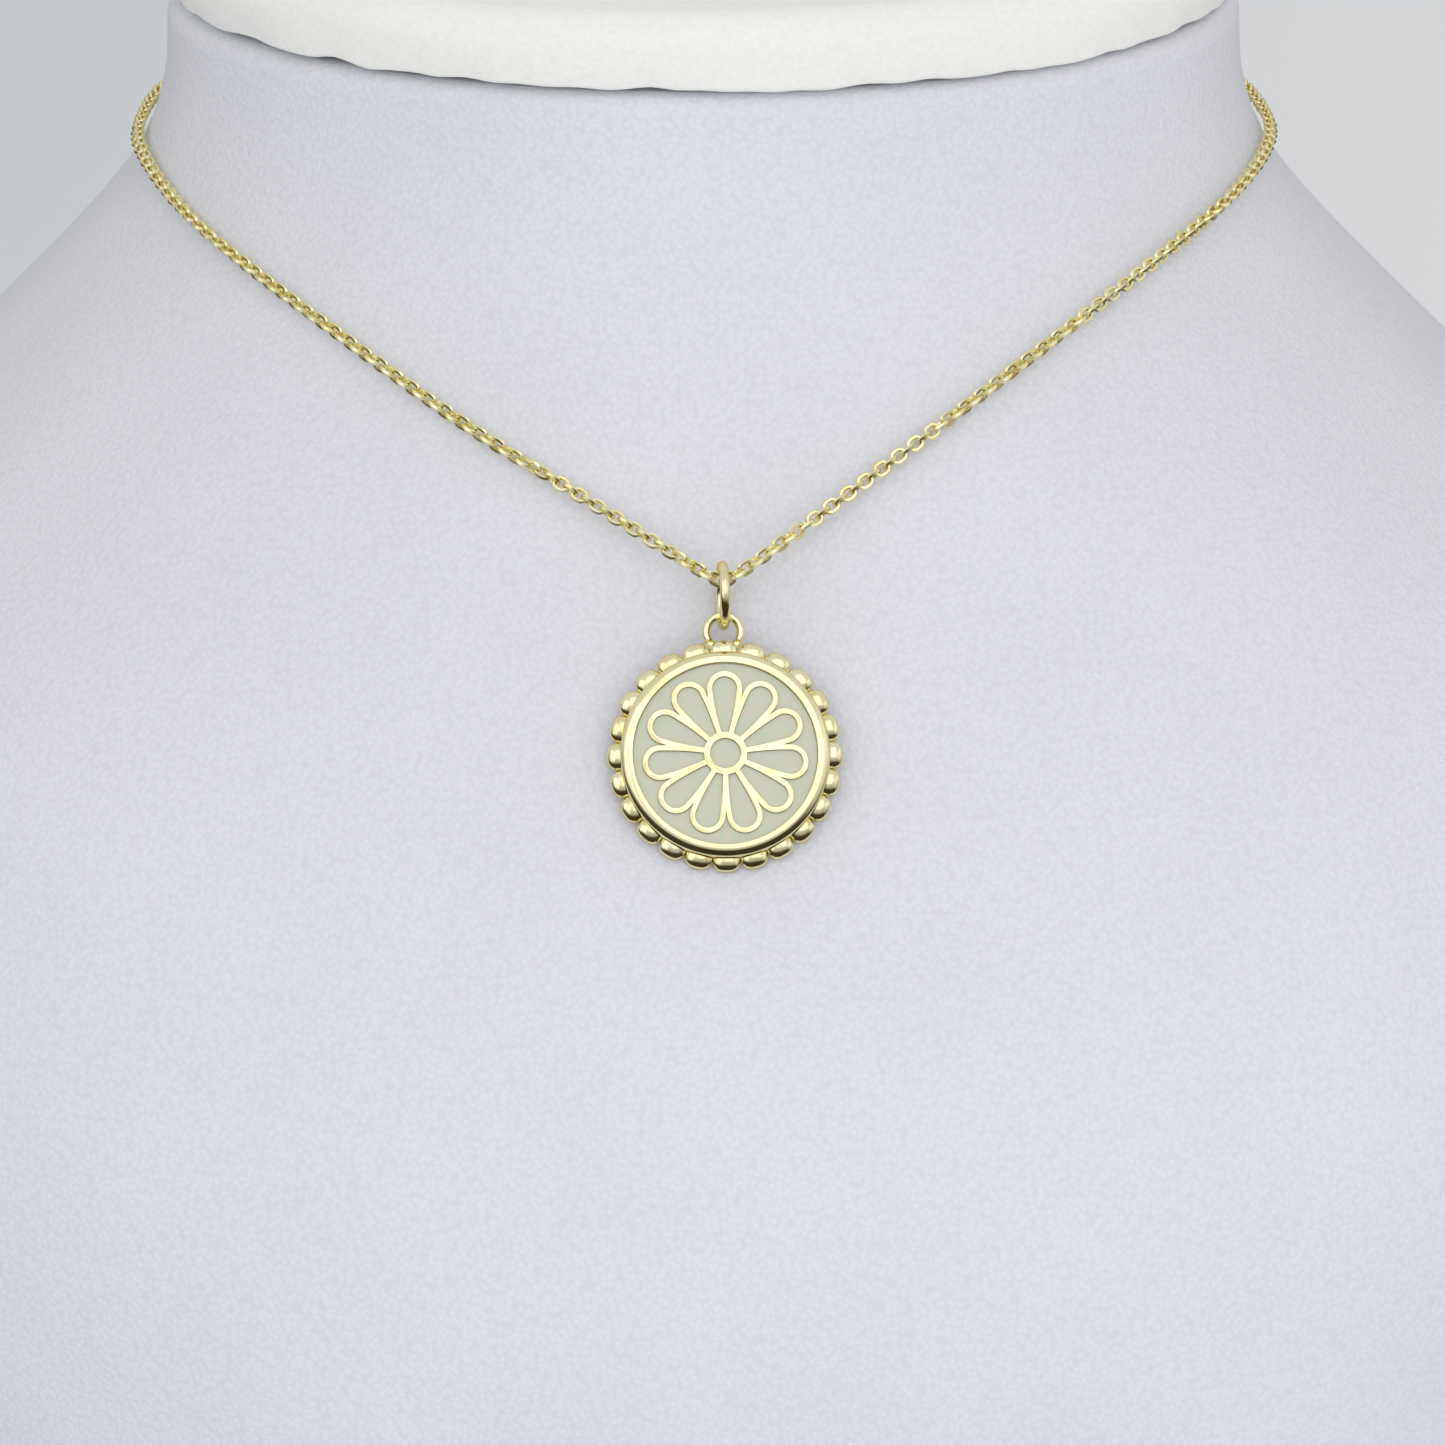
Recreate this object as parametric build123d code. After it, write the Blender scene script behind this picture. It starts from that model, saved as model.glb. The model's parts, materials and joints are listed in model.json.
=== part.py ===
from build123d import *
from collections import namedtuple
from math import asin, atan2, copysign, cos, degrees, hypot, pi, radians, sin, tan
import os

os.makedirs("parts", exist_ok=True)

# Flower pendant on a cable chain, hung on a plain neck bust.
# Millimetres. +X to the right seen from the front, -Y to the front, +Z up, origin at the middle of the foot.

# Neck bust
bust_height = 200.0
bust_width = 208.0
bust_depth = 170.0
bust_rim_round = 2.0
outline_points = 24

# Padded cap on the neck
cap_width = 105.6
cap_depth = 96.0
cap_thickness = 8.0
cap_top_round = 5.0
cap_bottom_round = 1.6
cap_side_shift = -0.3

# Round medallion
medallion_low_height = 138.5
medallion_radius = 10.5
scallop_count = 24
scallop_reach = 10.6
scallop_width = 2.5
scallop_length = 2.2
scallop_height = 0.92
scallop_edge_height = 0.25
back_thickness = 0.6
dish_radius = 8.28
rim_radius = 9.36
rim_flat_width = 0.56
rim_height = 1.75
rim_side_height = 1.36
rim_arch = 0.03
ledge_width = 0.1
ledge_height = 1.0

# Flower lines in the dish
petal_count = 11
petal_tip_reach = 7.03
petal_tip_radius = 1.12
petal_foot_reach = 1.93
petal_foot_half_width = 0.33
petal_side_turn = 9.5
line_width = 0.46
line_height = 1.62
line_round = 0.08
centre_hole_radius = 1.38

# Enamel in the cells
enamel_height = 1.38
enamel_gap = 0.03

# Loop, jump ring and chain
loop_radius = 1.9
loop_wire = 0.7
loop_centre_reach = 11.35
loop_height = 0.35
ring_radius = 3.15
ring_wire = 0.92
chain_width = 1.3
link_gap = 0.1
rest_gap = 0.2
loop_side_angle = 15.0
chain_side_angle = 10.0
chain_bend_radius = 1.4
chain_bend_run = 0.6
chain_clearance = 0.3

# Clasp behind the neck
clasp_length = 9.0
clasp_width = 4.4
clasp_thickness = 1.6
clasp_band = 1.1
clasp_lug = 1.2
clasp_height = 187.8
end_gap = 0.2

# Cross-sections of the bust from foot to neck: height as a share of the bust's height, half width as a
# share of half its width, front and back as shares of its depth from the foremost point.
Section = namedtuple("Section", "height half_width front back squareness")
bust_sections = [
    Section(0.000, 0.700, 0.100, 0.900, 2.30),
    Section(0.050, 0.722, 0.086, 0.907, 2.30),
    Section(0.140, 0.775, 0.052, 0.925, 2.30),
    Section(0.290, 0.865, 0.014, 0.955, 2.30),
    Section(0.440, 0.950, 0.000, 0.985, 2.30),
    Section(0.565, 1.000, 0.032, 1.000, 2.35),
    Section(0.670, 0.965, 0.108, 0.994, 2.40),
    Section(0.760, 0.850, 0.188, 0.979, 2.35),
    Section(0.830, 0.707, 0.249, 0.959, 2.25),
    Section(0.890, 0.592, 0.302, 0.938, 2.15),
    Section(0.935, 0.532, 0.335, 0.925, 2.05),
    Section(0.970, 0.515, 0.352, 0.920, 2.00),
    Section(1.000, 0.514, 0.359, 0.919, 2.00),
]

# Corners of the chain's route over the chest and round the neck, from the jump ring to the clasp.
chain_route_right = [
    (11.5, -42.7, 167.3),
    (23.0, -35.7, 173.8),
    (34.5, -26.3, 179.6),
    (43.5, -15.9, 183.2),
    (50.5, -4.4, 185.3),
    (55.0, 7.5, 186.6),
    (56.9, 18.9, 187.0),
    (55.1, 37.9, 187.2),
    (46.1, 53.1, 187.4),
    (33.8, 63.9, 187.6),
    (18.7, 71.1, 187.8),
]
chain_route_left = [
    (-11.5, -43.2, 166.8),
    (-23.0, -37.0, 172.2),
    (-34.5, -27.8, 178.2),
    (-43.6, -17.1, 182.0),
    (-50.4, -5.8, 184.4),
    (-55.1, 7.4, 186.4),
    (-56.9, 18.9, 187.0),
    (-55.1, 37.8, 187.2),
    (-46.0, 53.1, 187.4),
    (-33.8, 63.9, 187.6),
    (-18.7, 71.1, 187.8),
]


def rounded_outline(half_width, front, back, squareness, height):
    """A closed smooth outline at one height, an ellipse with fuller corners."""
    middle = (front + back) / 2
    half_depth = (back - front) / 2
    power = 2 / squareness
    points = []
    for index in range(outline_points):
        turn = 2 * pi * index / outline_points
        across = copysign(abs(cos(turn)) ** power, cos(turn))
        along = copysign(abs(sin(turn)) ** power, sin(turn))
        points.append((half_width * across, middle + half_depth * along, height))
    return make_face(Spline(*points, periodic=True))


def make_bust():
    """The chest, shoulders and neck as one smooth body with eased rims."""
    faces = []
    for row in bust_sections:
        faces.append(
            rounded_outline(
                row.half_width * bust_width / 2,
                (row.front - 0.5) * bust_depth,
                (row.back - 0.5) * bust_depth,
                row.squareness,
                row.height * bust_height,
            )
        )
    body = loft(faces)
    rims = body.edges().group_by(Axis.Z)
    return fillet(rims[0] + rims[-1], bust_rim_round)


def make_neck_cap():
    """A padded disc that lies on the neck."""
    neck = bust_sections[-1]
    middle = ((neck.front + neck.back) / 2 - 0.5) * bust_depth
    disc = extrude(Ellipse(cap_width / 2, cap_depth / 2), cap_thickness)
    disc = fillet(disc.edges().group_by(Axis.Z)[-1], cap_top_round)
    disc = fillet(disc.edges().group_by(Axis.Z)[0], cap_bottom_round)
    return Pos(cap_side_shift, middle, bust_height) * disc


def surface_y(body, height, side):
    """Where the middle of the body's front (-1) or back (+1) lies at one height."""
    line = Axis((0, -bust_depth, height), (0, 1, 0))
    depths = [point.Y for point, normal in body.find_intersection_points(line)]
    return side * max(side * depth for depth in depths)


bust = make_bust()
neck_cap = make_neck_cap()

# Inside the jump ring the loop hangs below the middle and the chain passes above it.
ring_inner = ring_radius - ring_wire
loop_hang = ring_inner - loop_wire / 2 - link_gap
chain_hang = ring_inner - chain_width / 2 - link_gap
ring_off = ring_radius + rest_gap
loop_off = ring_off - loop_hang * sin(radians(loop_side_angle))
loop_wire_reach = loop_centre_reach + loop_radius - loop_wire / 2
lean_span = loop_wire_reach + medallion_radius

# The chest line from under the medallion's lowest edge up to the jump ring's back.
foot = Vector(0, surface_y(bust, medallion_low_height, -1), medallion_low_height)
next_height = medallion_low_height + rest_gap
first_slope = (Vector(0, surface_y(bust, next_height, -1), next_height) - foot).normalized()
upper_height = medallion_low_height + lean_span * first_slope.Z
upper = Vector(0, surface_y(bust, upper_height, -1), upper_height)
up_slope = (upper - foot).normalized()
off_slope = Vector(1, 0, 0).cross(up_slope)


def on_chest(along, off):
    """A point in the middle plane, so far up the chest from the foot point and so far off it."""
    return foot + up_slope * along + off_slope * off


# The medallion leans on its lowest edge and on the loop that the ring holds off the chest.
lean = asin((loop_off - rest_gap - loop_height) / lean_span)
plate_up = up_slope.rotate(Axis.X, degrees(lean))
plate_off = off_slope.rotate(Axis.X, degrees(lean))
lowest_edge = on_chest(0, rest_gap)
plate_centre = lowest_edge + plate_up * medallion_radius
loop_point = plate_centre + plate_up * loop_wire_reach + plate_off * loop_height
loop_turn = radians(loop_side_angle)
ring_centre = loop_point + (up_slope * cos(loop_turn) + off_slope * sin(loop_turn)) * loop_hang
chain_turn = radians(chain_side_angle)
chain_point = ring_centre + (up_slope * cos(chain_turn) - off_slope * sin(chain_turn)) * chain_hang
plate_plane = Plane(origin=plate_centre, x_dir=(1, 0, 0), z_dir=plate_off)


def make_rim():
    """The dish, its raised rim with a sloping outer side and a narrow ledge, as one turned form."""
    flat_edge = dish_radius + rim_flat_width
    side_foot = (rim_radius, rim_side_height)
    side_middle = ((rim_radius + flat_edge) / 2 + rim_arch, (rim_height + rim_side_height) / 2 + rim_arch)
    side_top = (flat_edge, rim_height)
    with BuildPart() as turned:
        with BuildSketch(Plane.XZ):
            with BuildLine():
                Polyline(
                    (0, 0),
                    (rim_radius + ledge_width, 0),
                    (rim_radius + ledge_width, ledge_height),
                    side_foot,
                )
                ThreePointArc(side_foot, side_middle, side_top)
                Polyline(
                    side_top,
                    (dish_radius + line_round, rim_height),
                    (dish_radius, rim_height - line_round),
                    (dish_radius, back_thickness),
                    (0, back_thickness),
                    (0, 0),
                )
            make_face()
        revolve(axis=Axis.Z)
    return turned.part


def make_scallop():
    """One domed oval lobe of the edge, standing on the back plane at the lobe's own middle."""
    half_length = scallop_length / 2
    with BuildPart() as turned:
        with BuildSketch(Plane.XZ):
            with BuildLine():
                Line((0, 0), (half_length, 0))
                Line((half_length, 0), (half_length, scallop_edge_height))
                EllipticalCenterArc(
                    (0, scallop_edge_height),
                    half_length,
                    scallop_height - scallop_edge_height,
                    start_angle=0,
                    arc_size=90,
                )
                Line((0, scallop_height), (0, 0))
            make_face()
        revolve(axis=Axis.Z)
    return scale(turned.part, by=(scallop_width / scallop_length, 1, 1))


def petal_cell(margin):
    """The outline of one petal's cell, grown by a margin, with its tip up the Y axis."""
    tip_centre = petal_tip_reach - petal_tip_radius
    chord_turn = atan2(petal_tip_radius - petal_foot_half_width, tip_centre - petal_foot_reach)
    join_turn = chord_turn - radians(petal_side_turn) / 2
    join = (petal_tip_radius * cos(join_turn), tip_centre - petal_tip_radius * sin(join_turn))
    foot_corner = (petal_foot_half_width, petal_foot_reach)
    chord = hypot(join[0] - foot_corner[0], join[1] - foot_corner[1])
    bulge = chord / 2 * tan(radians(petal_side_turn) / 4)
    side_middle = (
        (join[0] + foot_corner[0]) / 2 + bulge * cos(chord_turn),
        (join[1] + foot_corner[1]) / 2 - bulge * sin(chord_turn),
    )
    far_join = (-join[0], join[1])
    far_middle = (-side_middle[0], side_middle[1])
    far_corner = (-foot_corner[0], foot_corner[1])
    with BuildSketch() as cell:
        with BuildLine():
            ThreePointArc(foot_corner, side_middle, join)
            ThreePointArc(join, (0, petal_tip_reach), far_join)
            ThreePointArc(far_join, far_middle, far_corner)
            Line(far_corner, foot_corner)
        make_face()
    if margin:
        return offset(cell.sketch, margin, kind=Kind.ARC)
    return cell.sketch


def around(shape, count):
    """Copies of a shape turned evenly about the Z axis, the first as it is."""
    return [Rot(0, 0, -360 * index / count) * shape for index in range(count)]


def flower_outline(margin):
    """The whole flower's outer outline, grown by a margin."""
    outline = Circle(petal_foot_reach)
    for petal in around(petal_cell(line_width + margin), petal_count):
        outline += petal
    return outline


def make_flower_lines():
    """The raised lines round the petals and the centre, from the dish floor up."""
    lines = flower_outline(0)
    for petal in around(petal_cell(0), petal_count):
        lines -= petal
    lines -= Circle(centre_hole_radius)
    return Pos(0, 0, back_thickness / 2) * extrude(lines, line_height - back_thickness / 2)


def make_loop():
    """The soldered loop, whose foot goes into the plate behind the top scallop."""
    band = Torus(loop_radius - loop_wire / 2, loop_wire / 2)
    return Pos(0, loop_centre_reach, loop_height) * band


def make_medallion():
    """The cast plate with rim, scallops, flower lines and loop, as one piece of metal."""
    scallop = Pos(0, scallop_reach - scallop_length / 2, 0) * make_scallop()
    scallop -= extrude(Circle(dish_radius + rim_flat_width / 2), rim_height)
    return make_rim() + around(scallop, scallop_count) + [make_flower_lines(), make_loop()]


def enamel(face):
    """Enamel that fills a cell's face from the floor up, seated in the medallion."""
    floor = back_thickness + enamel_gap
    return plate_plane.location * Pos(0, 0, floor) * extrude(face, enamel_height - floor)


def write(shape, name):
    """Save one piece under its node's name."""
    export_step(shape, f"parts/{name}.step")


write(bust, "bust")
write(neck_cap, "neck_cap")
write(plate_plane.location * make_medallion(), "medallion")

field = Circle(dish_radius - enamel_gap) - flower_outline(enamel_gap)
write(enamel(field), "enamel_field")
write(enamel(Circle(centre_hole_radius - enamel_gap)), "enamel_centre")
for number, cell in enumerate(around(petal_cell(-enamel_gap), petal_count), start=1):
    write(enamel(cell), f"enamel_petal_{number:02d}")

ring = Torus(ring_radius - ring_wire / 2, ring_wire / 2)
write(Pos(*ring_centre) * Rot(0, 90, 0) * ring, "jump_ring")


def make_clasp(centre):
    """A plain oval clasp with a lug at each end, lying flat on the back of the neck."""
    with BuildPart() as made:
        with BuildSketch(Plane.XZ):
            SlotOverall(clasp_length, clasp_width)
            SlotOverall(clasp_length - 2 * clasp_band, clasp_width - 2 * clasp_band, mode=Mode.SUBTRACT)
        extrude(amount=clasp_thickness / 2, both=True)
        Cylinder(chain_width / 2, clasp_length + 2 * clasp_lug, rotation=(0, 90, 0))
        with BuildSketch(Plane.XZ):
            SlotOverall(clasp_length - 2 * clasp_band, clasp_width - 2 * clasp_band)
        extrude(amount=clasp_width, both=True, mode=Mode.SUBTRACT)
    return Pos(*centre) * made.part


clasp_off = clasp_thickness / 2 + chain_clearance
clasp_seat = surface_y(bust, clasp_height - clasp_width / 2, 1)
clasp_centre = Vector(0, clasp_seat + clasp_off, clasp_height)
write(make_clasp(clasp_centre), "clasp")


def make_chain(route, side):
    """One half of the chain as a tube: straight runs joined by tangent arcs."""
    start = chain_point
    bend = start + Vector(side * chain_bend_run, 0, 0)
    reach = side * (clasp_length / 2 + clasp_lug + end_gap)
    end = clasp_centre + Vector(reach, 0, 0)
    points = [start, bend] + [Vector(*point) for point in route] + [end]
    runs = [(after - before).length for before, after in zip(points, points[1:])]
    radii = []
    for index in range(1, len(points) - 1):
        turn = (points[index] - points[index - 1]).get_angle(points[index + 1] - points[index])
        radii.append(0.45 * min(runs[index - 1], runs[index]) / tan(radians(turn) / 2))
    radii[0] = chain_bend_radius
    path = FilletPolyline(*points, radius=radii)
    tube = sweep(Plane(path @ 0, z_dir=path % 0) * Circle(chain_width / 2), path=path)
    section_volume = pi * chain_width**2 / 4 * path.length
    print("radii", [round(radius, 1) for radius in radii], "length", round(path.length, 1))
    print("volume", round(tube.volume, 2), "section by length", round(section_volume, 2))
    return tube


write(make_chain(chain_route_right, 1), "chain_right")
write(make_chain(chain_route_left, -1), "chain_left")

print("medallion centre", plate_centre, "leans back", round(degrees(atan2(plate_up.Y, plate_up.Z)), 2))
print("ring centre", ring_centre, "chain vertex", chain_point, "loop wire", loop_point)
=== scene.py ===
import json
import math
import random

import bmesh
import bpy
from mathutils import Matrix, Vector, noise


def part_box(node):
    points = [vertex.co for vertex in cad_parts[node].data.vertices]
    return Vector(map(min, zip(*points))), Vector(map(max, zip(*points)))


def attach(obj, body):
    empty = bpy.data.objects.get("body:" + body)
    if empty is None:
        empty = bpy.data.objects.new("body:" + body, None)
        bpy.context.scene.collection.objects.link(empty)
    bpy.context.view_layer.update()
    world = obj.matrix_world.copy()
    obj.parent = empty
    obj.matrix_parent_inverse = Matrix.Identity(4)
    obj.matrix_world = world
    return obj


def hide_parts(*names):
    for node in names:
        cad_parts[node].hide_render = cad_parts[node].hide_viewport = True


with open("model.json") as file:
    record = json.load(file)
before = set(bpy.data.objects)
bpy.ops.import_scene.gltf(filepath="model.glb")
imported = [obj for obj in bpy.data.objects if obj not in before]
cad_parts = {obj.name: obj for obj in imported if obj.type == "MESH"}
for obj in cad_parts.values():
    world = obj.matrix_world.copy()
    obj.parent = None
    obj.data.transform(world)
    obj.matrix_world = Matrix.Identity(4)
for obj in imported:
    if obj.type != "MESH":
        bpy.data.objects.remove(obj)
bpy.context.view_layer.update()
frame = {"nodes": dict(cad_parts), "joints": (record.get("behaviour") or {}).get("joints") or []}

# A flower pendant on a cable chain round a plain neck bust. Metres, Z up, the front towards -Y.
# Every _ANGLE, _AT, _YAW, _TURN, _PLAY and _SWAY is in degrees.
MM = 0.001

# Medallion, in its own frame: origin at the middle of its back, Y up the plate, Z out of its face
BACK_THICKNESS = 0.6 * MM
DISH_RADIUS = 8.28 * MM
RIM_FLAT_WIDTH = 0.56 * MM
RIM_RADIUS = 9.36 * MM
RIM_HEIGHT = 1.75 * MM
RIM_SIDE_HEIGHT = 1.36 * MM
RIM_ARCH = 0.03 * MM
LEDGE_WIDTH = 0.1 * MM
LEDGE_HEIGHT = 1.0 * MM
RIM_STEPS = 144
EDGE_ROUND = 0.05 * MM
RIM_EDGE_ANGLE = 28
SCALLOP_COUNT = 24
SCALLOP_REACH = 10.6 * MM
SCALLOP_WIDTH = 2.5 * MM
SCALLOP_LENGTH = 2.2 * MM
SCALLOP_HEIGHT = 0.92 * MM
SCALLOP_EDGE = 0.25 * MM
SCALLOP_SQUARENESS = 2.5
LOOP_RADIUS = 1.9 * MM
LOOP_WIRE = 0.7 * MM
LOOP_REACH = 11.35 * MM
LOOP_HEIGHT = 0.35 * MM
LOOP_FOOT_SQUASH = 0.4
LOOP_FOOT_DEPTH = 0.1 * MM
METAL_SMOOTH_ANGLE = 38

# Flower lines and enamel
PETAL_COUNT = 11
PETAL_TIP_REACH = 7.03 * MM
PETAL_TIP_RADIUS = 1.12 * MM
PETAL_FOOT_REACH = 1.93 * MM
PETAL_FOOT_HALF = 0.33 * MM
PETAL_SIDE_TURN = 9.5
LINE_WIDTH = 0.46 * MM
LINE_HEIGHT = 1.62 * MM
LINE_ROUND = 0.06 * MM
CENTRE_HOLE = 1.38 * MM
HUB_STEPS = 88
HOLE_STEPS = 64
ENAMEL_TOP = 1.38 * MM
ENAMEL_FLOOR = 0.63 * MM

# Jump ring
RING_RADIUS = 3.15 * MM
RING_WIRE = 0.92 * MM
RING_SLIT = 0.05 * MM
RING_STEPS = 72
RING_SEAM_AT = 152
RING_YAW = 3
RING_END_ROUND = 0.03 * MM
RING_EDGE_ANGLE = 60
RING_SMOOTH_ANGLE = 40

# Padded cap; the under part fades out at shares of its radius and thickness
PAD_LOWER_ROUND = 0.7 * MM
PAD_SHOULDER_ROUND = 3.8 * MM
PAD_CROWN = 0.5 * MM
PAD_UNDER_RING = 5 * MM
PAD_UNDER_EDGE = 3 * MM
PAD_STEPS = 288
PAD_BUNCHED_AT = -145
PAD_EDGE_FROM = 0.86
PAD_EDGE_BLEND = 0.1
PAD_UNDER_SHARE = 0.35
PAD_PUCKERS = 14
PAD_WAVES = 4
PAD_LIFT = 0.42 * MM
PAD_WAVE_LIFT = 0.2 * MM
PAD_PUCKER_LIFT = 0.24 * MM
PAD_BUNCH_PUCKER = 0.2 * MM
PAD_BUNCH_LIFT = 0.3 * MM
PAD_WAVE_DRAW = 0.3 * MM
PAD_PUCKER_DRAW = 0.4 * MM
PAD_SWELL = 0.3 * MM
PAD_SWELL_SPACING = 16 * MM

# Cable chain
LINK_LENGTH = 1.85 * MM
LINK_WIDTH = 1.5 * MM
LINK_WIRE = 0.41 * MM
LINK_THICKNESS = 0.37 * MM
CHAIN_END_GAP = 0.2 * MM
CHAIN_BEND_RUN = 0.6 * MM
LINK_ROLL_PLAY = 5
LINK_SWAY = 3
CHAIN_SEED = 7
LINK_SMOOTH_ANGLE = 35
ROUTE_STEPS = 40
CHAIN_ROUTES = {
    "chain_right": [
        (11.5, -42.7, 167.3),
        (23.0, -35.7, 173.8),
        (34.5, -26.3, 179.6),
        (43.5, -15.9, 183.2),
        (50.5, -4.4, 185.3),
        (55.0, 7.5, 186.6),
        (56.9, 18.9, 187.0),
        (55.1, 37.9, 187.2),
        (46.1, 53.1, 187.4),
        (33.8, 63.9, 187.6),
        (18.7, 71.1, 187.8),
    ],
    "chain_left": [
        (-11.5, -43.2, 166.8),
        (-23.0, -37.0, 172.2),
        (-34.5, -27.8, 178.2),
        (-43.6, -17.1, 182.0),
        (-50.4, -5.8, 184.4),
        (-55.1, 7.4, 186.4),
        (-56.9, 18.9, 187.0),
        (-55.1, 37.8, 187.2),
        (-46.0, 53.1, 187.4),
        (-33.8, 63.9, 187.6),
        (-18.7, 71.1, 187.8),
    ],
}
# How far the links are rolled from lying flat: distance along the half in millimetres, degrees
CHAIN_ROLLS = {
    "chain_right": [
        (0, 45), (8, 40), (12, 4), (24, 6), (29, 45), (43, 45), (48, 4), (66, 8), (72, 45), (200, 45),
    ],
    "chain_left": [
        (0, 50), (4, 40), (7, 6), (18, 4), (23, 45), (60, 48), (80, 40), (200, 45),
    ],
}

# Camera, as the photograph was taken
PHOTO_SIZE = 1445
FOCAL_PIXELS = 5850
CAMERA_AZIMUTH = -1.5
CAMERA_ELEVATION = 20.0
CAMERA_DISTANCE = 0.525
MEDALLION_PIXEL = (725.0, 756.5)
SENSOR_WIDTH = 36.0

# Looks; the floor's colour fades from darker at the left to paler at the right as painted light, in
# shares per metre
GOLD_EDGE_TINT = (0.85, 0.68, 0.36, 1)
GOLD_RELIEF = 0.012 * MM
ENAMEL_RELIEF = 0.01 * MM
WORLD_STRENGTH = 0.69
# The surroundings, from straight below (0) to straight above (1)
WORLD_TONES = [
    (0.0, (0.05, 0.036, 0.02, 1)),
    (0.46, (0.08, 0.062, 0.038, 1)),
    (0.57, (0.6, 0.6, 0.6, 1)),
    (0.75, (1, 1, 1, 1)),
]
FLOOR_SIZE = 12
FLOOR_FADE = 2.2
# Soft lights: azimuth and elevation in degrees, distance and size in metres, power in watts
LIGHTS = {
    "key": (20, 48, 1.1, 0.9, 1.0),
    "low": (8, -2, 0.75, 0.8, 1.8),
    "side": (75, 12, 0.9, 0.8, 0.6),
    "left": (-50, 30, 1.1, 0.9, 1.4),
    "shine": (5, 52, 1.1, 1.0, 0.7),
}


def only(*objects):
    """Make these the only selected objects, with the first one active."""
    bpy.ops.object.select_all(action="DESELECT")
    for obj in objects:
        obj.select_set(True)
    bpy.context.view_layer.objects.active = objects[0]


def added(name):
    """Name the primitive that was just added, and select it alone."""
    obj = bpy.context.object
    obj.name = name
    obj.data.name = name
    only(obj)
    return obj


def pick(obj, test):
    """In edit mode, select only the vertices that pass the test, and what lies between them."""
    bpy.ops.mesh.select_mode(type="VERT")
    mesh = bmesh.from_edit_mesh(obj.data)
    for vertex in mesh.verts:
        vertex.select = test(vertex.co)
    mesh.select_flush_mode()
    bmesh.update_edit_mesh(obj.data)


def pick_edges(obj, test):
    """In edit mode, select only the edges that pass the test."""
    bpy.ops.mesh.select_mode(type="EDGE")
    mesh = bmesh.from_edit_mesh(obj.data)
    for part in [*mesh.verts, *mesh.edges, *mesh.faces]:
        part.select = False
    for edge in mesh.edges:
        if test(edge):
            edge.select_set(True)
    bmesh.update_edit_mesh(obj.data)


def finish_modifier(obj, name, kind, **settings):
    """Add one modifier with its settings and apply it."""
    only(obj)
    modifier = obj.modifiers.new(name, kind)
    for key, value in settings.items():
        setattr(modifier, key, value)
    bpy.ops.object.modifier_apply(modifier=name)


def soften_edges(obj, width, segments, degrees):
    """Round the edges that turn more than so many degrees."""
    settings = {"width": width, "segments": segments, "limit_method": "ANGLE"}
    finish_modifier(obj, "soft_edges", "BEVEL", angle_limit=math.radians(degrees), **settings)


def combine(obj, other, operation):
    """Unite obj with other, or cut other out of it, and delete other."""
    finish_modifier(obj, "combine", "BOOLEAN", object=other, operation=operation, solver="MANIFOLD")
    bpy.data.objects.remove(other)


def copies_round(obj, count, name):
    """Copies of obj turned evenly about the Z axis and joined with obj to one piece."""
    turned_copies = []
    for index in range(1, count):
        copy = obj.copy()
        copy.data = obj.data.copy()
        copy.data.transform(Matrix.Rotation(-math.tau * index / count, 4, "Z"))
        bpy.context.scene.collection.objects.link(copy)
        turned_copies.append(copy)
    only(obj, *turned_copies)
    bpy.ops.object.join()
    obj.name = name
    return obj


def smooth(obj, degrees):
    """Shade smooth across edges that turn less than so many degrees."""
    only(obj)
    bpy.ops.object.shade_smooth_by_angle(angle=math.radians(degrees))


def place(obj, matrix):
    """Move a piece made about the origin to its place, in its mesh."""
    obj.matrix_world = matrix
    only(obj)
    bpy.ops.object.transform_apply(location=True, rotation=True, scale=True)
    return obj


def turned(name, profile, steps):
    """A closed form with this profile of (radius, height) points, turned about the Z axis."""
    bpy.ops.mesh.primitive_plane_add(size=MM)
    obj = added(name)
    bpy.ops.object.mode_set(mode="EDIT")
    bpy.ops.mesh.merge(type="CENTER")
    bpy.ops.transform.translate(value=(profile[0][0], 0, profile[0][1]))
    for before, after in zip(profile, profile[1:]):
        step = (after[0] - before[0], 0, after[1] - before[1])
        bpy.ops.mesh.extrude_vertices_move(TRANSFORM_OT_translate={"value": step})
    bpy.ops.mesh.select_all(action="SELECT")
    bpy.ops.mesh.spin(steps=steps, angle=math.tau, center=(0, 0, 0), axis=(0, 0, 1))
    bpy.ops.mesh.select_all(action="SELECT")
    bpy.ops.mesh.remove_doubles(threshold=MM / 1000)
    bpy.ops.mesh.normals_make_consistent(inside=False)
    bpy.ops.object.mode_set(mode="OBJECT")
    return obj


def make_plate():
    """The dish and its raised rim, with a rounded outer side that ends on a narrow ledge."""
    flat_edge = DISH_RADIUS + RIM_FLAT_WIDTH
    ledge = RIM_RADIUS + LEDGE_WIDTH
    profile = [(0, 0), (ledge, 0), (ledge, LEDGE_HEIGHT), (RIM_RADIUS, RIM_SIDE_HEIGHT)]
    side_steps = 6
    for index in range(1, side_steps):
        share = index / side_steps
        bulge = RIM_ARCH * math.sin(math.pi * share)
        radius = RIM_RADIUS + (flat_edge - RIM_RADIUS) * share + bulge
        profile.append((radius, RIM_SIDE_HEIGHT + (RIM_HEIGHT - RIM_SIDE_HEIGHT) * share + bulge))
    profile += [(flat_edge, RIM_HEIGHT), (DISH_RADIUS, RIM_HEIGHT)]
    profile += [(DISH_RADIUS, BACK_THICKNESS), (0, BACK_THICKNESS)]
    plate = turned("plate", profile, RIM_STEPS)
    soften_edges(plate, EDGE_ROUND, 3, RIM_EDGE_ANGLE)
    return plate


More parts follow.
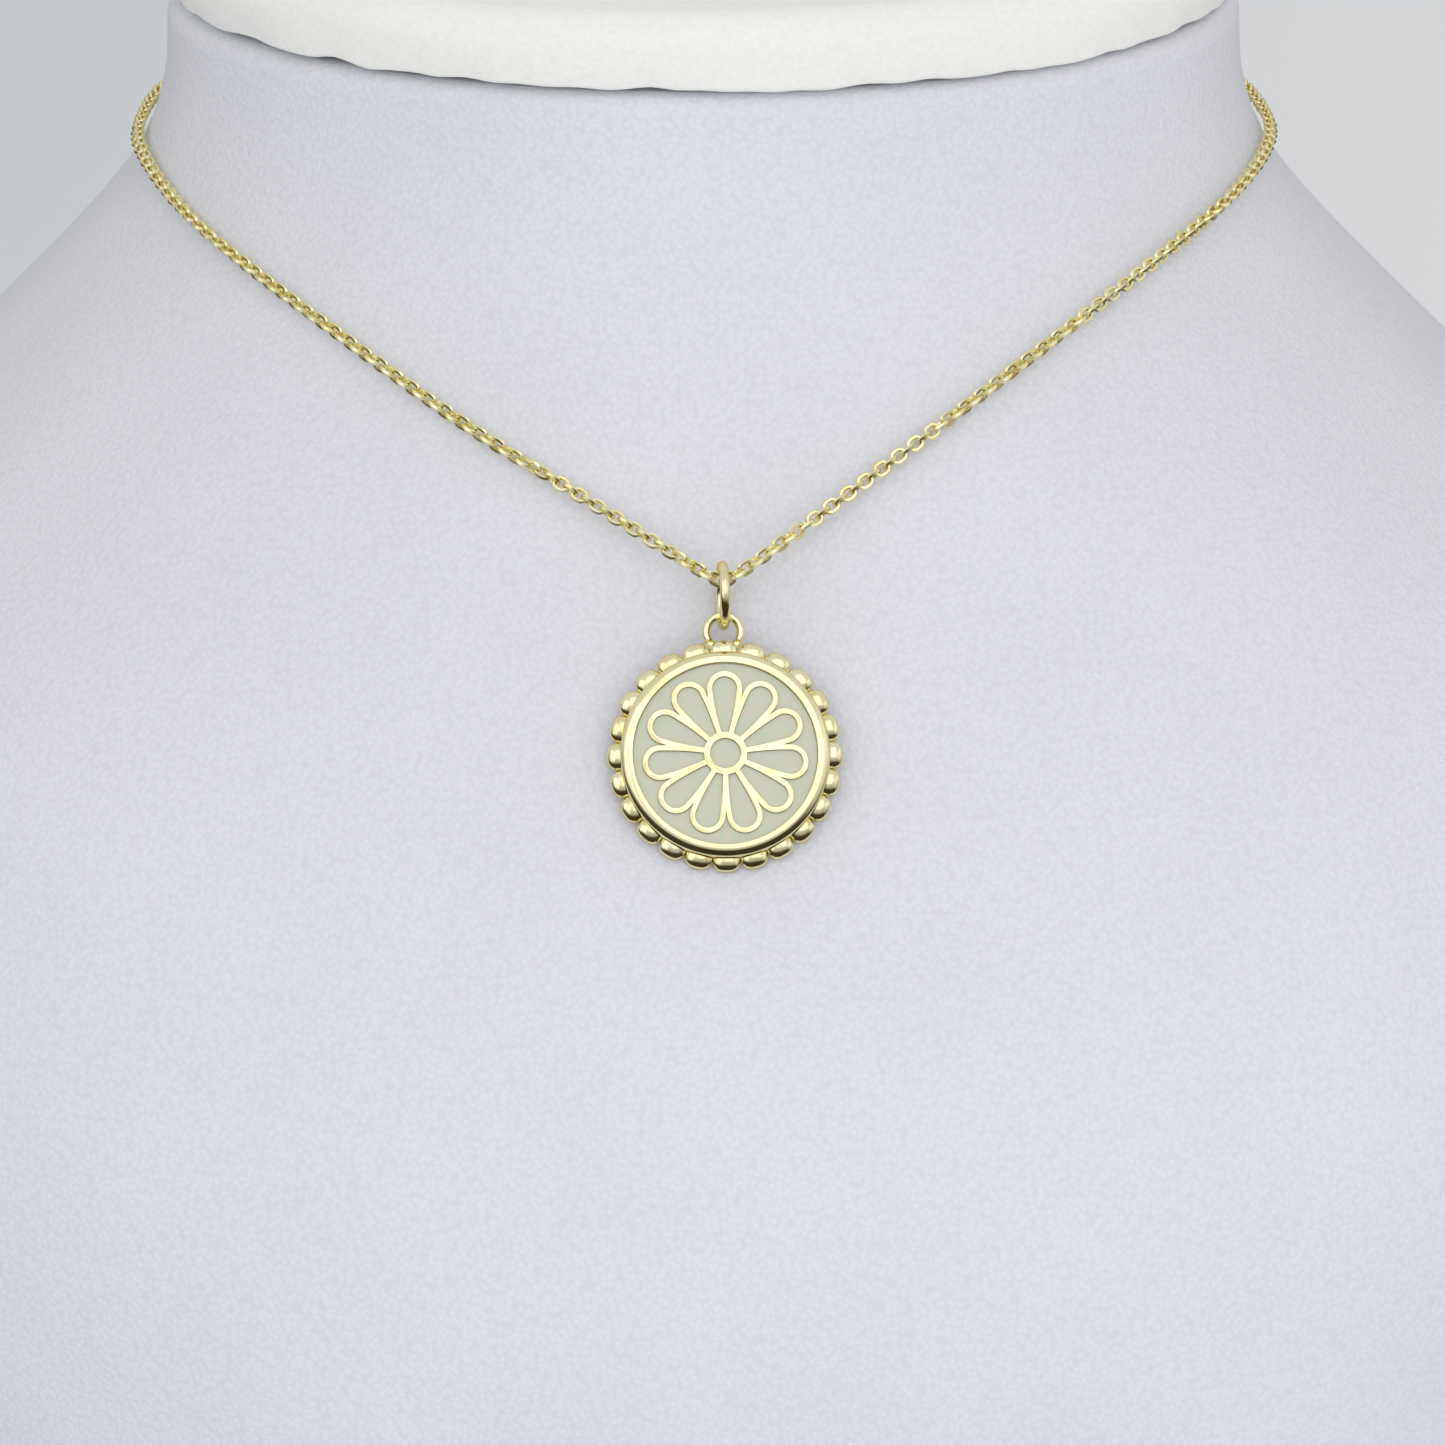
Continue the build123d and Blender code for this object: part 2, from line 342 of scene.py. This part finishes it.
def make_scallops(first_turn):
    """Every second one of the domed oval lobes round the edge, from this turn on."""
    radius = SCALLOP_LENGTH / 2
    bpy.ops.mesh.primitive_uv_sphere_add(segments=32, ring_count=20, radius=radius)
    lobe = added("scallop")
    bpy.ops.object.mode_set(mode="EDIT")
    bpy.ops.mesh.select_all(action="SELECT")
    bpy.ops.mesh.bisect(plane_co=(0, 0, 0), plane_no=(0, 0, 1), use_fill=True, clear_inner=True)
    bpy.ops.mesh.extrude_region_move(TRANSFORM_OT_translate={"value": (0, 0, -SCALLOP_EDGE)})
    pick(lobe, lambda point: point.z > 0.01 * MM)
    dome = (SCALLOP_HEIGHT - SCALLOP_EDGE) / radius
    bpy.ops.transform.resize(value=(1, 1, dome), center_override=(0, 0, 0))
    bpy.ops.mesh.select_all(action="SELECT")
    widening = SCALLOP_WIDTH / SCALLOP_LENGTH
    bpy.ops.transform.resize(value=(widening, 1, 1), center_override=(0, 0, 0))
    inner_end = DISH_RADIUS + RIM_FLAT_WIDTH - (SCALLOP_REACH - radius)
    cut_place = (0, inner_end, 0)
    bpy.ops.mesh.bisect(plane_co=cut_place, plane_no=(0, 1, 0), use_fill=True, clear_inner=True)
    bpy.ops.mesh.select_all(action="SELECT")
    bpy.ops.object.mode_set(mode="OBJECT")
    for vertex in lobe.data.vertices:
        across = abs(vertex.co.x) / (SCALLOP_WIDTH / 2)
        along = abs(vertex.co.y) / radius
        if across + along > 0.01:
            powers = across**SCALLOP_SQUARENESS + along**SCALLOP_SQUARENESS
            push = math.hypot(across, along) / powers ** (1 / SCALLOP_SQUARENESS)
            vertex.co.x *= push
            vertex.co.y *= push
    lobe.data.transform(Matrix.Translation((0, SCALLOP_REACH - radius, SCALLOP_EDGE)))
    lobe.data.transform(Matrix.Rotation(first_turn, 4, "Z"))
    return copies_round(lobe, SCALLOP_COUNT // 2, "scallops")


def petal_outline(grow):
    """Points round a petal's cell, grown by a margin: two long sides and a round tip up the Y axis."""
    side_steps = 10
    tip_steps = 22
    tip_centre = PETAL_TIP_REACH - PETAL_TIP_RADIUS
    chord_turn = math.atan2(PETAL_TIP_RADIUS - PETAL_FOOT_HALF, tip_centre - PETAL_FOOT_REACH)
    join_turn = chord_turn - math.radians(PETAL_SIDE_TURN) / 2
    foot = Vector((PETAL_FOOT_HALF, PETAL_FOOT_REACH))
    join = Vector((math.cos(join_turn), -math.sin(join_turn))) * PETAL_TIP_RADIUS
    join += Vector((0, tip_centre))
    across = Vector((math.cos(chord_turn), -math.sin(chord_turn)))
    bulge = (join - foot).length * math.tan(math.radians(PETAL_SIDE_TURN) / 4)
    control = (foot + join) / 2 + across * bulge
    half = []
    for index in range(side_steps):
        share = index / side_steps
        point = foot * (1 - share) ** 2 + control * 2 * share * (1 - share) + join * share**2
        lean = chord_turn + math.radians(PETAL_SIDE_TURN) * (0.5 - share)
        half.append(point + Vector((math.cos(lean), -math.sin(lean))) * grow)
    for index in range(tip_steps // 2):
        turn = -join_turn + (math.pi / 2 + join_turn) * index / (tip_steps // 2)
        tip = Vector((math.cos(turn), math.sin(turn))) * (PETAL_TIP_RADIUS + grow)
        half.append(tip + Vector((0, tip_centre)))
    mirrored = [Vector((-point.x, point.y)) for point in reversed(half)]
    return half + [Vector((0, PETAL_TIP_REACH + grow))] + mirrored


def block(name, outline, low, high):
    """A straight block with this outline between two heights."""
    bpy.ops.mesh.primitive_circle_add(vertices=len(outline), radius=MM, fill_type="NGON")
    obj = added(name)
    for vertex, point in zip(obj.data.vertices, outline):
        vertex.co = (point[0], point[1], low)
    bpy.ops.object.mode_set(mode="EDIT")
    bpy.ops.mesh.select_all(action="SELECT")
    bpy.ops.mesh.extrude_region_move(TRANSFORM_OT_translate={"value": (0, 0, high - low)})
    bpy.ops.mesh.select_all(action="SELECT")
    bpy.ops.mesh.normals_make_consistent(inside=False)
    bpy.ops.object.mode_set(mode="OBJECT")
    return obj


def circle_outline(radius, count):
    """Points round a circle about the origin."""
    turns = [math.tau * index / count for index in range(count)]
    return [Vector((radius * math.cos(turn), radius * math.sin(turn))) for turn in turns]


def make_flower_lines():
    """The raised lines round the petals and the centre, with softly rounded tops."""
    low = BACK_THICKNESS / 2
    hub = circle_outline(PETAL_FOOT_REACH + LINE_WIDTH / 4, HUB_STEPS)
    lines = block("flower_lines", hub, low, LINE_HEIGHT)
    for index in range(PETAL_COUNT):
        petal = block("petal_line", petal_outline(LINE_WIDTH), low, LINE_HEIGHT)
        petal.data.transform(Matrix.Rotation(-math.tau * index / PETAL_COUNT, 4, "Z"))
        combine(lines, petal, "UNION")
    cell = block("petal_cell", petal_outline(0), 0, LINE_HEIGHT * 2)
    combine(lines, copies_round(cell, PETAL_COUNT, "petal_cells"), "DIFFERENCE")
    hole = block("centre_hole", circle_outline(CENTRE_HOLE, HOLE_STEPS), 0, LINE_HEIGHT * 2)
    combine(lines, hole, "DIFFERENCE")
    only(lines)
    bpy.ops.object.mode_set(mode="EDIT")
    bpy.ops.mesh.select_all(action="SELECT")
    bpy.ops.mesh.remove_doubles(threshold=MM / 200)

    def on_top(edge):
        high = all(vertex.co.z > LINE_HEIGHT - MM / 100 for vertex in edge.verts)
        return high and len(edge.link_faces) == 2 and edge.calc_face_angle() > math.radians(30)

    pick_edges(lines, on_top)
    bpy.ops.mesh.bevel(offset=LINE_ROUND, segments=3, affect="EDGES", clamp_overlap=True)
    bpy.ops.object.mode_set(mode="OBJECT")
    return lines


def make_hanging_loop():
    """The soldered loop, flattened where its foot lies behind the top lobe."""
    bpy.ops.mesh.primitive_torus_add(
        major_radius=LOOP_RADIUS - LOOP_WIRE / 2, minor_radius=LOOP_WIRE / 2,
        major_segments=64, minor_segments=20, location=(0, LOOP_REACH, LOOP_HEIGHT),
    )
    loop = added("hanging_loop")
    bpy.ops.object.transform_apply(location=True, rotation=True, scale=True)
    bpy.ops.object.mode_set(mode="EDIT")
    pick(loop, lambda point: point.y < SCALLOP_REACH - LOOP_FOOT_DEPTH)
    bpy.ops.transform.resize(value=(1, 1, LOOP_FOOT_SQUASH), center_override=(0, 0, 0))
    bpy.ops.object.mode_set(mode="OBJECT")
    return loop


def make_medallion(matrix):
    """The cast plate with rim, scallops, flower lines and loop, as one piece of metal."""
    medallion = make_plate()
    combine(medallion, make_scallops(0), "UNION")
    combine(medallion, make_scallops(math.tau / SCALLOP_COUNT), "UNION")
    combine(medallion, make_hanging_loop(), "UNION")
    combine(medallion, make_flower_lines(), "UNION")
    medallion.name = "medallion_metal"
    smooth(medallion, METAL_SMOOTH_ANGLE)
    return place(medallion, matrix)


def make_jump_ring(centre):
    """Round wire bent to a ring, with its two cut ends nearly closed behind."""
    radius = RING_RADIUS - RING_WIRE / 2
    slit_turn = RING_SLIT / radius
    bpy.ops.mesh.primitive_circle_add(
        vertices=20, radius=RING_WIRE / 2, fill_type="NGON", location=(radius, 0, 0)
    )
    ring = added("jump_ring_wire")
    bpy.ops.object.transform_apply(location=True, rotation=True, scale=True)
    bpy.ops.object.mode_set(mode="EDIT")
    bpy.ops.mesh.select_all(action="SELECT")
    bpy.ops.transform.rotate(value=math.pi / 2, orient_axis="X", center_override=(radius, 0, 0))
    round_turn = math.tau - slit_turn
    bpy.ops.mesh.spin(steps=RING_STEPS, angle=round_turn, center=(0, 0, 0), axis=(0, 0, 1))
    bpy.ops.mesh.select_all(action="SELECT")
    bpy.ops.mesh.normals_make_consistent(inside=False)
    bpy.ops.object.mode_set(mode="OBJECT")
    soften_edges(ring, RING_END_ROUND, 2, RING_EDGE_ANGLE)
    smooth(ring, RING_SMOOTH_ANGLE)
    upright = Matrix.Rotation(math.pi / 2, 4, "Y")
    seam = Matrix.Rotation(math.radians(RING_SEAM_AT), 4, "X")
    yaw = Matrix.Rotation(math.radians(RING_YAW), 4, "Z")
    return place(ring, Matrix.Translation(centre) @ yaw @ seam @ upright)


def make_link():
    """One oval link of flattened wire, its length along X and its plane flat."""
    stretch = (LINK_LENGTH - LINK_WIDTH) / 2
    bpy.ops.mesh.primitive_torus_add(
        major_radius=(LINK_WIDTH - LINK_WIRE) / 2, minor_radius=LINK_WIRE / 2,
        major_segments=16, minor_segments=6,
    )
    link = added("chain_link")
    bpy.ops.object.mode_set(mode="EDIT")
    for side in (-1, 1):
        pick(link, lambda point: point.x * side > MM / 100)
        bpy.ops.transform.translate(value=(side * stretch, 0, 0))
    bpy.ops.mesh.select_all(action="SELECT")
    six_sided_height = LINK_WIRE * math.sin(math.pi / 3)
    bpy.ops.transform.resize(value=(1, 1, LINK_THICKNESS / six_sided_height))
    bpy.ops.object.mode_set(mode="OBJECT")
    smooth(link, LINK_SMOOTH_ANGLE)
    return link


def line_points(points):
    """Points along the smooth line that these control points draw."""
    curve = bpy.data.curves.new("route", "CURVE")
    curve.dimensions = "3D"
    curve.resolution_u = ROUTE_STEPS
    spline = curve.splines.new("NURBS")
    spline.points.add(len(points) - 1)
    for handle, point in zip(spline.points, points):
        handle.co = (*point, 1)
    spline.order_u = 3
    spline.use_endpoint_u = True
    route = bpy.data.objects.new("route", curve)
    bpy.context.scene.collection.objects.link(route)
    bpy.context.view_layer.update()
    drawn = route.evaluated_get(bpy.context.evaluated_depsgraph_get())
    mesh = bpy.data.meshes.new_from_object(drawn)
    line = [vertex.co.copy() for vertex in mesh.vertices]
    bpy.data.objects.remove(route)
    return line


def along_line(line, distances):
    """The place and direction at each distance along a line of points."""
    found = []
    passed = 0.0
    index = 0
    for distance in distances:
        while index < len(line) - 2 and passed + (line[index + 1] - line[index]).length < distance:
            passed += (line[index + 1] - line[index]).length
            index += 1
        step = line[index + 1] - line[index]
        found.append((line[index] + step.normalized() * (distance - passed), step.normalized()))
    return found


def table_value(table, at):
    """The value at one place in a table of (place, value) rows, on straight lines between them."""
    for before, after in zip(table, table[1:]):
        if at <= after[0]:
            share = (at - before[0]) / (after[0] - before[0])
            return before[1] + (after[1] - before[1]) * share
    return table[-1][1]


def make_chain(name, first_turn, link, bust):
    """One half of the chain, from the jump ring to the clasp: links that pass through each other."""
    side = 1 if name == "chain_right" else -1
    start = Vector(frame["joints"][0]["pos_m"])
    clasp_low, clasp_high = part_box("clasp")
    clasp_middle = (clasp_low + clasp_high) / 2
    clasp_reach = (clasp_high.x - clasp_low.x) / 2 + CHAIN_END_GAP
    end = Vector((side * clasp_reach, clasp_middle.y, clasp_middle.z))
    route = [start, start + Vector((side * CHAIN_BEND_RUN, 0, 0))]
    route += [Vector(point) * MM for point in CHAIN_ROUTES[name]] + [end]
    line = line_points(route)
    length = sum((after - before).length for before, after in zip(line, line[1:]))
    count = round(length / (LINK_LENGTH - 2 * LINK_WIRE))
    pitch = length / count
    chance = random.Random(CHAIN_SEED + side)
    stations = along_line(line, [pitch * (index + 0.5) for index in range(count)])
    outwards = [bust.closest_point_on_mesh(middle)[2] for middle, _ in stations]
    links = []
    for index, ((middle, forward), outward) in enumerate(zip(stations, outwards)):
        across = outward.cross(forward).normalized()
        outward = forward.cross(across)
        roll = table_value(CHAIN_ROLLS[name], pitch * (index + 0.5) / MM)
        roll = math.radians(roll + chance.uniform(-LINK_ROLL_PLAY, LINK_ROLL_PLAY))
        roll += math.pi / 2 * ((index + first_turn) % 2)
        flat = across * math.cos(roll) + outward * math.sin(roll)
        turn = Matrix((forward, flat, forward.cross(flat))).transposed()
        sway_turn = math.radians(chance.uniform(-LINK_SWAY, LINK_SWAY))
        sway = Matrix.Rotation(sway_turn, 3, "Z")
        copy = link.copy()
        copy.data = link.data.copy()
        copy.data.transform(Matrix.Translation(middle) @ (turn @ sway).to_4x4())
        bpy.context.scene.collection.objects.link(copy)
        links.append(copy)
    only(*links)
    bpy.ops.object.join()
    chain = bpy.context.object
    chain.name = name + "_links"
    chain.data.name = chain.name
    return chain


def pad_profile(reach, thickness):
    """Half of the cap's section: flat underneath, a tight lower edge, a puffy shoulder, a crown."""
    profile = [(0, 0), (reach - PAD_UNDER_RING, 0), (reach - PAD_UNDER_EDGE, 0)]
    for radius, first, last, steps, height in (
        (PAD_LOWER_ROUND, -90, -8, 5, PAD_LOWER_ROUND),
        (PAD_SHOULDER_ROUND, 6, 84, 10, thickness - PAD_CROWN - PAD_SHOULDER_ROUND),
    ):
        for index in range(steps + 1):
            turn = math.radians(first + (last - first) * index / steps)
            profile.append((reach - radius + radius * math.cos(turn), height + radius * math.sin(turn)))
    flat = reach - PAD_SHOULDER_ROUND
    crown_steps = 8
    for index in range(1, crown_steps + 1):
        share = index / crown_steps
        profile.append((flat * (1 - share), thickness - PAD_CROWN * (1 - share) ** 2))
    return profile


def make_neck_pad():
    """The padded cap on the neck, its cover pulled under the lower edge in small puckers."""
    low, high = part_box("neck_cap")
    middle = (low + high) / 2
    half = (high - low) / 2
    thickness = high.z - low.z
    pad = turned("neck_pad", pad_profile(half.x, thickness), PAD_STEPS)
    for vertex in pad.data.vertices:
        here = vertex.co
        turn = math.atan2(here.y, here.x)
        reach = math.hypot(here.x, here.y) / half.x
        share = here.z / thickness
        edge = max(0.0, min(1.0, (reach - PAD_EDGE_FROM) / PAD_EDGE_BLEND))
        under = max(0.0, 1 - share / PAD_UNDER_SHARE) ** 1.5 * edge
        round_place = Vector((math.cos(turn), math.sin(turn), 0))
        pucker = noise.noise(round_place * PAD_PUCKERS + Vector((0, 0, 3)))
        wave = noise.noise(round_place * PAD_WAVES + Vector((0, 0, 8)))
        bunched = max(0.0, math.cos(turn - math.radians(PAD_BUNCHED_AT))) ** 4
        puckering = (PAD_PUCKER_LIFT + PAD_BUNCH_PUCKER * bunched) * pucker
        lift = under * (PAD_LIFT + PAD_WAVE_LIFT * wave + puckering + PAD_BUNCH_LIFT * bunched)
        inward = under * (PAD_WAVE_DRAW * wave + PAD_PUCKER_DRAW * max(0.0, pucker))
        swell = noise.noise(here / PAD_SWELL_SPACING) * PAD_SWELL
        here.x -= round_place.x * inward
        here.y -= round_place.y * inward
        here.z += lift + swell * share
    oval = Matrix.Diagonal((1, half.y / half.x, 1, 1))
    settle = Matrix.Translation((middle.x, middle.y, low.z)) @ oval
    smooth(place(pad, settle), 180)
    return pad


def set_stops(ramp, stops):
    """Give a colour ramp these (position, colour) stops."""
    while len(ramp.elements) < len(stops):
        ramp.elements.new(0.5)
    for element, (position, colour) in zip(ramp.elements, stops):
        element.position = position
        element.color = colour


class Wire:
    """An output of a material's node. Sums, differences and products of wires add Math nodes."""

    def __init__(self, finish, socket):
        self.finish = finish
        self.socket = socket

    def _math(self, operation, first, second):
        return self.finish.node("ShaderNodeMath", {"operation": operation}, {0: first, 1: second})

    def __add__(self, other):
        return self._math("ADD", self, other)

    def __radd__(self, other):
        return self._math("ADD", other, self)

    def __rsub__(self, other):
        return self._math("SUBTRACT", other, self)

    def __mul__(self, other):
        return self._math("MULTIPLY", self, other)


class Finish:
    """One material and the nodes that make it."""

    def __init__(self, name, constants):
        self.material = bpy.data.materials.new(name)
        self.material.use_nodes = True
        self.tree = self.material.node_tree
        self.shader = self.tree.nodes["Principled BSDF"]
        for key, value in constants.items():
            self.shader.inputs[key].default_value = value
        self.place = self.node("ShaderNodeTexCoord", {}, {}, "Object")

    def node(self, kind, settings, inputs, output=0):
        """Add a node: its settings, with a ramp's stops, then the values or wires of its sockets."""
        node = self.tree.nodes.new(kind)
        for key, value in settings.items():
            if key == "stops":
                set_stops(node.color_ramp, value)
            else:
                setattr(node, key, value)
        for key, value in inputs.items():
            if isinstance(value, Wire):
                self.tree.links.new(value.socket, node.inputs[key])
            else:
                node.inputs[key].default_value = value
        return Wire(self, node.outputs[output])

    def feed(self, wires):
        """Connect wires to the shader's own sockets and return the material."""
        for key, wire in wires.items():
            self.tree.links.new(wire.socket, self.shader.inputs[key])
        return self.material

    def grain(self, scale, detail=2.0, roughness=0.5, distortion=0.0):
        """Cloudy variation from 0 to 1; scale is in features per metre."""
        inputs = {"Vector": self.place, "Scale": scale, "Detail": detail}
        inputs.update({"Roughness": roughness, "Distortion": distortion})
        return self.node("ShaderNodeTexNoise", {}, inputs)

    def cells(self, scale):
        """Distance to the nearest of many scattered points."""
        inputs = {"Vector": self.place, "Scale": scale}
        return self.node("ShaderNodeTexVoronoi", {"feature": "F1"}, inputs, "Distance")

    def ramp(self, amount, *stops):
        """A colour for each amount."""
        return self.node("ShaderNodeValToRGB", {"stops": stops}, {"Fac": amount})

    def bump(self, height, distance):
        """A surface normal from heights."""
        inputs = {"Strength": 1.0, "Distance": distance, "Height": height}
        return self.node("ShaderNodeBump", {}, inputs, "Normal")


def rgb(red, green, blue):
    """A colour from its screen values, 0 to 255."""
    linear = []
    for value in (red, green, blue):
        share = value / 255
        linear.append(share / 12.92 if share <= 0.04045 else ((share + 0.055) / 1.055) ** 2.4)
    return (*linear, 1)


def polished_gold(name, pale, deep, roughness):
    """Polished gold plate: faint waves left by casting, fine rubbing, a slightly uneven tone."""
    gold = Finish(name, {"Metallic": 1.0, "Specular Tint": GOLD_EDGE_TINT})
    tone = gold.grain(450, 3)
    colour = gold.ramp(tone, (0.3, deep), (0.62, pale))
    rubbed = gold.grain(5200, 4, 0.7)
    waves = gold.grain(900, 1)
    heights = waves * 0.8 + rubbed * 0.06
    uneven = roughness + rubbed * 0.08
    relief = gold.bump(heights, GOLD_RELIEF)
    return gold.feed({"Base Color": colour, "Roughness": uneven, "Normal": relief})


def pearly_enamel():
    """Pale satin enamel with soft pink and green clouds."""
    enamel = Finish("pearly_enamel", {"Coat Weight": 0.25, "Coat Roughness": 0.2})
    clouds = enamel.grain(700, 3, 0.6, 0.4)
    specks = enamel.grain(2600, 2)
    stops = [(0.33, rgb(200, 211, 185)), (0.5, rgb(208, 211, 189)), (0.66, rgb(216, 207, 189))]
    colour = enamel.ramp(clouds * 0.7 + specks * 0.3, *stops)
    uneven = 0.34 + specks * 0.16
    relief = enamel.bump(enamel.grain(1500, 2), ENAMEL_RELIEF)
    return enamel.feed({"Base Color": colour, "Roughness": uneven, "Normal": relief})


def pebbled_leather(name, light, shade, grain_scale, grain_depth, rough):
    """Leatherette with a fine pebble grain, its colour painted darker in the hollows between the
    pebbles as painted shade, over a broad random tone.
    """
    leather = Finish(name, {"Specular IOR Level": 0.35})
    pebbles = leather.cells(grain_scale)
    broad = leather.grain(60, 1)
    # Painted shade: the colour runs towards the shade colour in the low hollows between the pebbles,
    # where the bump sinks; the broad cloud is random tone.
    colour = leather.ramp(pebbles * 0.7 + broad * 0.3, (0.2, light), (0.75, shade))
    uneven = rough + pebbles * 0.12
    relief = leather.bump(1 - pebbles, grain_depth)
    return leather.feed({"Base Color": colour, "Roughness": uneven, "Normal": relief})


def give_finish(obj, material):
    """Make this the piece's only material."""
    obj.data.materials.clear()
    obj.data.materials.append(material)


def dress(piece, body, node, material):
    """Give a new piece its finish and its body, and hide the node that it stands for."""
    give_finish(piece, material)
    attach(piece, body)
    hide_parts(node)


def medallion_frame():
    """The medallion's own frame, read from the round enamel in its middle."""
    mesh = frame["nodes"]["enamel_centre"].data
    facing = Vector((0, 0, 0))
    for face in mesh.polygons:
        if face.normal.y < -0.7:
            facing += face.normal * face.area
    facing.normalize()
    low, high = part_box("enamel_centre")
    centre = (low + high) / 2 - facing * (ENAMEL_FLOOR + ENAMEL_TOP) / 2
    across = Vector((1, 0, 0))
    upward = facing.cross(across)
    turn = Matrix((across, upward, facing)).transposed().to_4x4()
    return Matrix.Translation(centre) @ turn


def set_camera(target):
    """The photograph's view, with the medallion at its own pixel."""
    azimuth = math.radians(CAMERA_AZIMUTH)
    elevation = math.radians(CAMERA_ELEVATION)
    level = math.cos(elevation)
    back = Vector((math.sin(azimuth) * level, -math.cos(azimuth) * level, math.sin(elevation)))
    right = Vector((0, 0, 1)).cross(back).normalized()
    upward = back.cross(right)
    metre_per_pixel = CAMERA_DISTANCE / FOCAL_PIXELS
    aim = target - right * (MEDALLION_PIXEL[0] - PHOTO_SIZE / 2) * metre_per_pixel
    aim += upward * (MEDALLION_PIXEL[1] - PHOTO_SIZE / 2) * metre_per_pixel
    data = bpy.data.cameras.new("camera")
    data.sensor_width = SENSOR_WIDTH
    data.lens = FOCAL_PIXELS / PHOTO_SIZE * SENSOR_WIDTH
    data.clip_start = 0.01
    data.clip_end = 50
    camera = bpy.data.objects.new("camera", data)
    bpy.context.scene.collection.objects.link(camera)
    camera.location = target + back * CAMERA_DISTANCE
    camera.rotation_euler = (aim - camera.location).to_track_quat("-Z", "Y").to_euler()
    bpy.context.scene.camera = camera


def soft_light(name, target):
    """A square soft light that looks at the target from one side, unseen itself."""
    azimuth, elevation, distance, size, power = LIGHTS[name]
    turn = math.radians(azimuth)
    rise = math.radians(elevation)
    back = Vector((math.sin(turn) * math.cos(rise), -math.cos(turn) * math.cos(rise), math.sin(rise)))
    data = bpy.data.lights.new(name, "AREA")
    data.shape = "SQUARE"
    data.size = size
    data.energy = power
    light = bpy.data.objects.new(name, data)
    light.visible_camera = False
    bpy.context.scene.collection.objects.link(light)
    light.location = target + back * distance
    light.rotation_euler = (-back).to_track_quat("-Z", "Y").to_euler()
    return light


def set_world():
    """Studio surroundings: bright from above, dim near the ground."""
    world = bpy.data.worlds.new("studio")
    world.use_nodes = True
    bpy.context.scene.world = world
    tree = world.node_tree
    background = tree.nodes["Background"]
    direction = tree.nodes.new("ShaderNodeTexCoord")
    split = tree.nodes.new("ShaderNodeSeparateXYZ")
    tree.links.new(direction.outputs["Generated"], split.inputs[0])
    spread = tree.nodes.new("ShaderNodeMapRange")
    spread.inputs["From Min"].default_value = -1
    spread.inputs["From Max"].default_value = 1
    tree.links.new(split.outputs["Z"], spread.inputs["Value"])
    ramp = tree.nodes.new("ShaderNodeValToRGB")
    set_stops(ramp.color_ramp, WORLD_TONES)
    tree.links.new(spread.outputs["Result"], ramp.inputs["Fac"])
    tree.links.new(ramp.outputs["Color"], background.inputs["Color"])
    background.inputs["Strength"].default_value = WORLD_STRENGTH


def make_floor():
    """A pale floor, plain but for painted light that runs from darker at the left to paler at the
    right, seen but not mirrored in the metal.
    """
    bpy.ops.mesh.primitive_plane_add(size=FLOOR_SIZE, location=(0, 0, 0))
    floor = added("floor")
    paint = Finish("pale_floor", {"Roughness": 0.8})
    sideways = paint.node("ShaderNodeSeparateXYZ", {}, {0: paint.place})
    across = sideways * FLOOR_FADE + 0.5
    # Painted light: the floor's colour is darker at the left and paler at the right.
    tone = paint.ramp(across, (0.1, rgb(229, 233, 236)), (0.9, rgb(250, 252, 254)))
    give_finish(floor, paint.feed({"Base Color": tone}))
    floor.visible_glossy = False


bust = frame["nodes"]["bust"]
plate_frame = medallion_frame()
ring_low, ring_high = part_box("jump_ring")
ring_centre = (ring_low + ring_high) / 2

gold = polished_gold(
    "polished_gold", pale=rgb(250, 244, 204), deep=rgb(244, 232, 176), roughness=0.1
)
chain_gold = polished_gold(
    "chain_gold", pale=rgb(253, 248, 204), deep=rgb(249, 238, 176), roughness=0.26
)
enamel = pearly_enamel()
# Each leather's shade colour is painted shade, laid in the hollows between its pebbles.
lavender = pebbled_leather(
    "lavender_leather", light=rgb(233, 234, 241), shade=rgb(223, 224, 231),
    grain_scale=1900, grain_depth=0.07 * MM, rough=0.5,
)
warm_white = pebbled_leather(
    "warm_white_leather", light=rgb(252, 253, 249), shade=rgb(246, 247, 242),
    grain_scale=1700, grain_depth=0.02 * MM, rough=0.42,
)

set_camera(plate_frame.translation)
dress(make_medallion(plate_frame), "pendant", "medallion", gold)
dress(make_jump_ring(ring_centre), "ring", "jump_ring", gold)
link = make_link()
for name, first_turn in (("chain_right", 0), ("chain_left", 1)):
    dress(make_chain(name, first_turn, link, bust), "stand", name, chain_gold)
bpy.data.objects.remove(link)
pad = make_neck_pad()
dress(pad, "stand", "neck_cap", warm_white)

give_finish(bust, lavender)
give_finish(frame["nodes"]["clasp"], chain_gold)
for name, node in frame["nodes"].items():
    if name.startswith("enamel"):
        give_finish(node, enamel)

make_floor()
set_world()
subject = plate_frame.translation
soft_light("key", subject)
soft_light("low", subject).visible_glossy = False
soft_light("side", subject)
soft_light("left", subject)
soft_light("shine", subject).visible_diffuse = False
bpy.context.scene.view_settings.view_transform = "Standard"
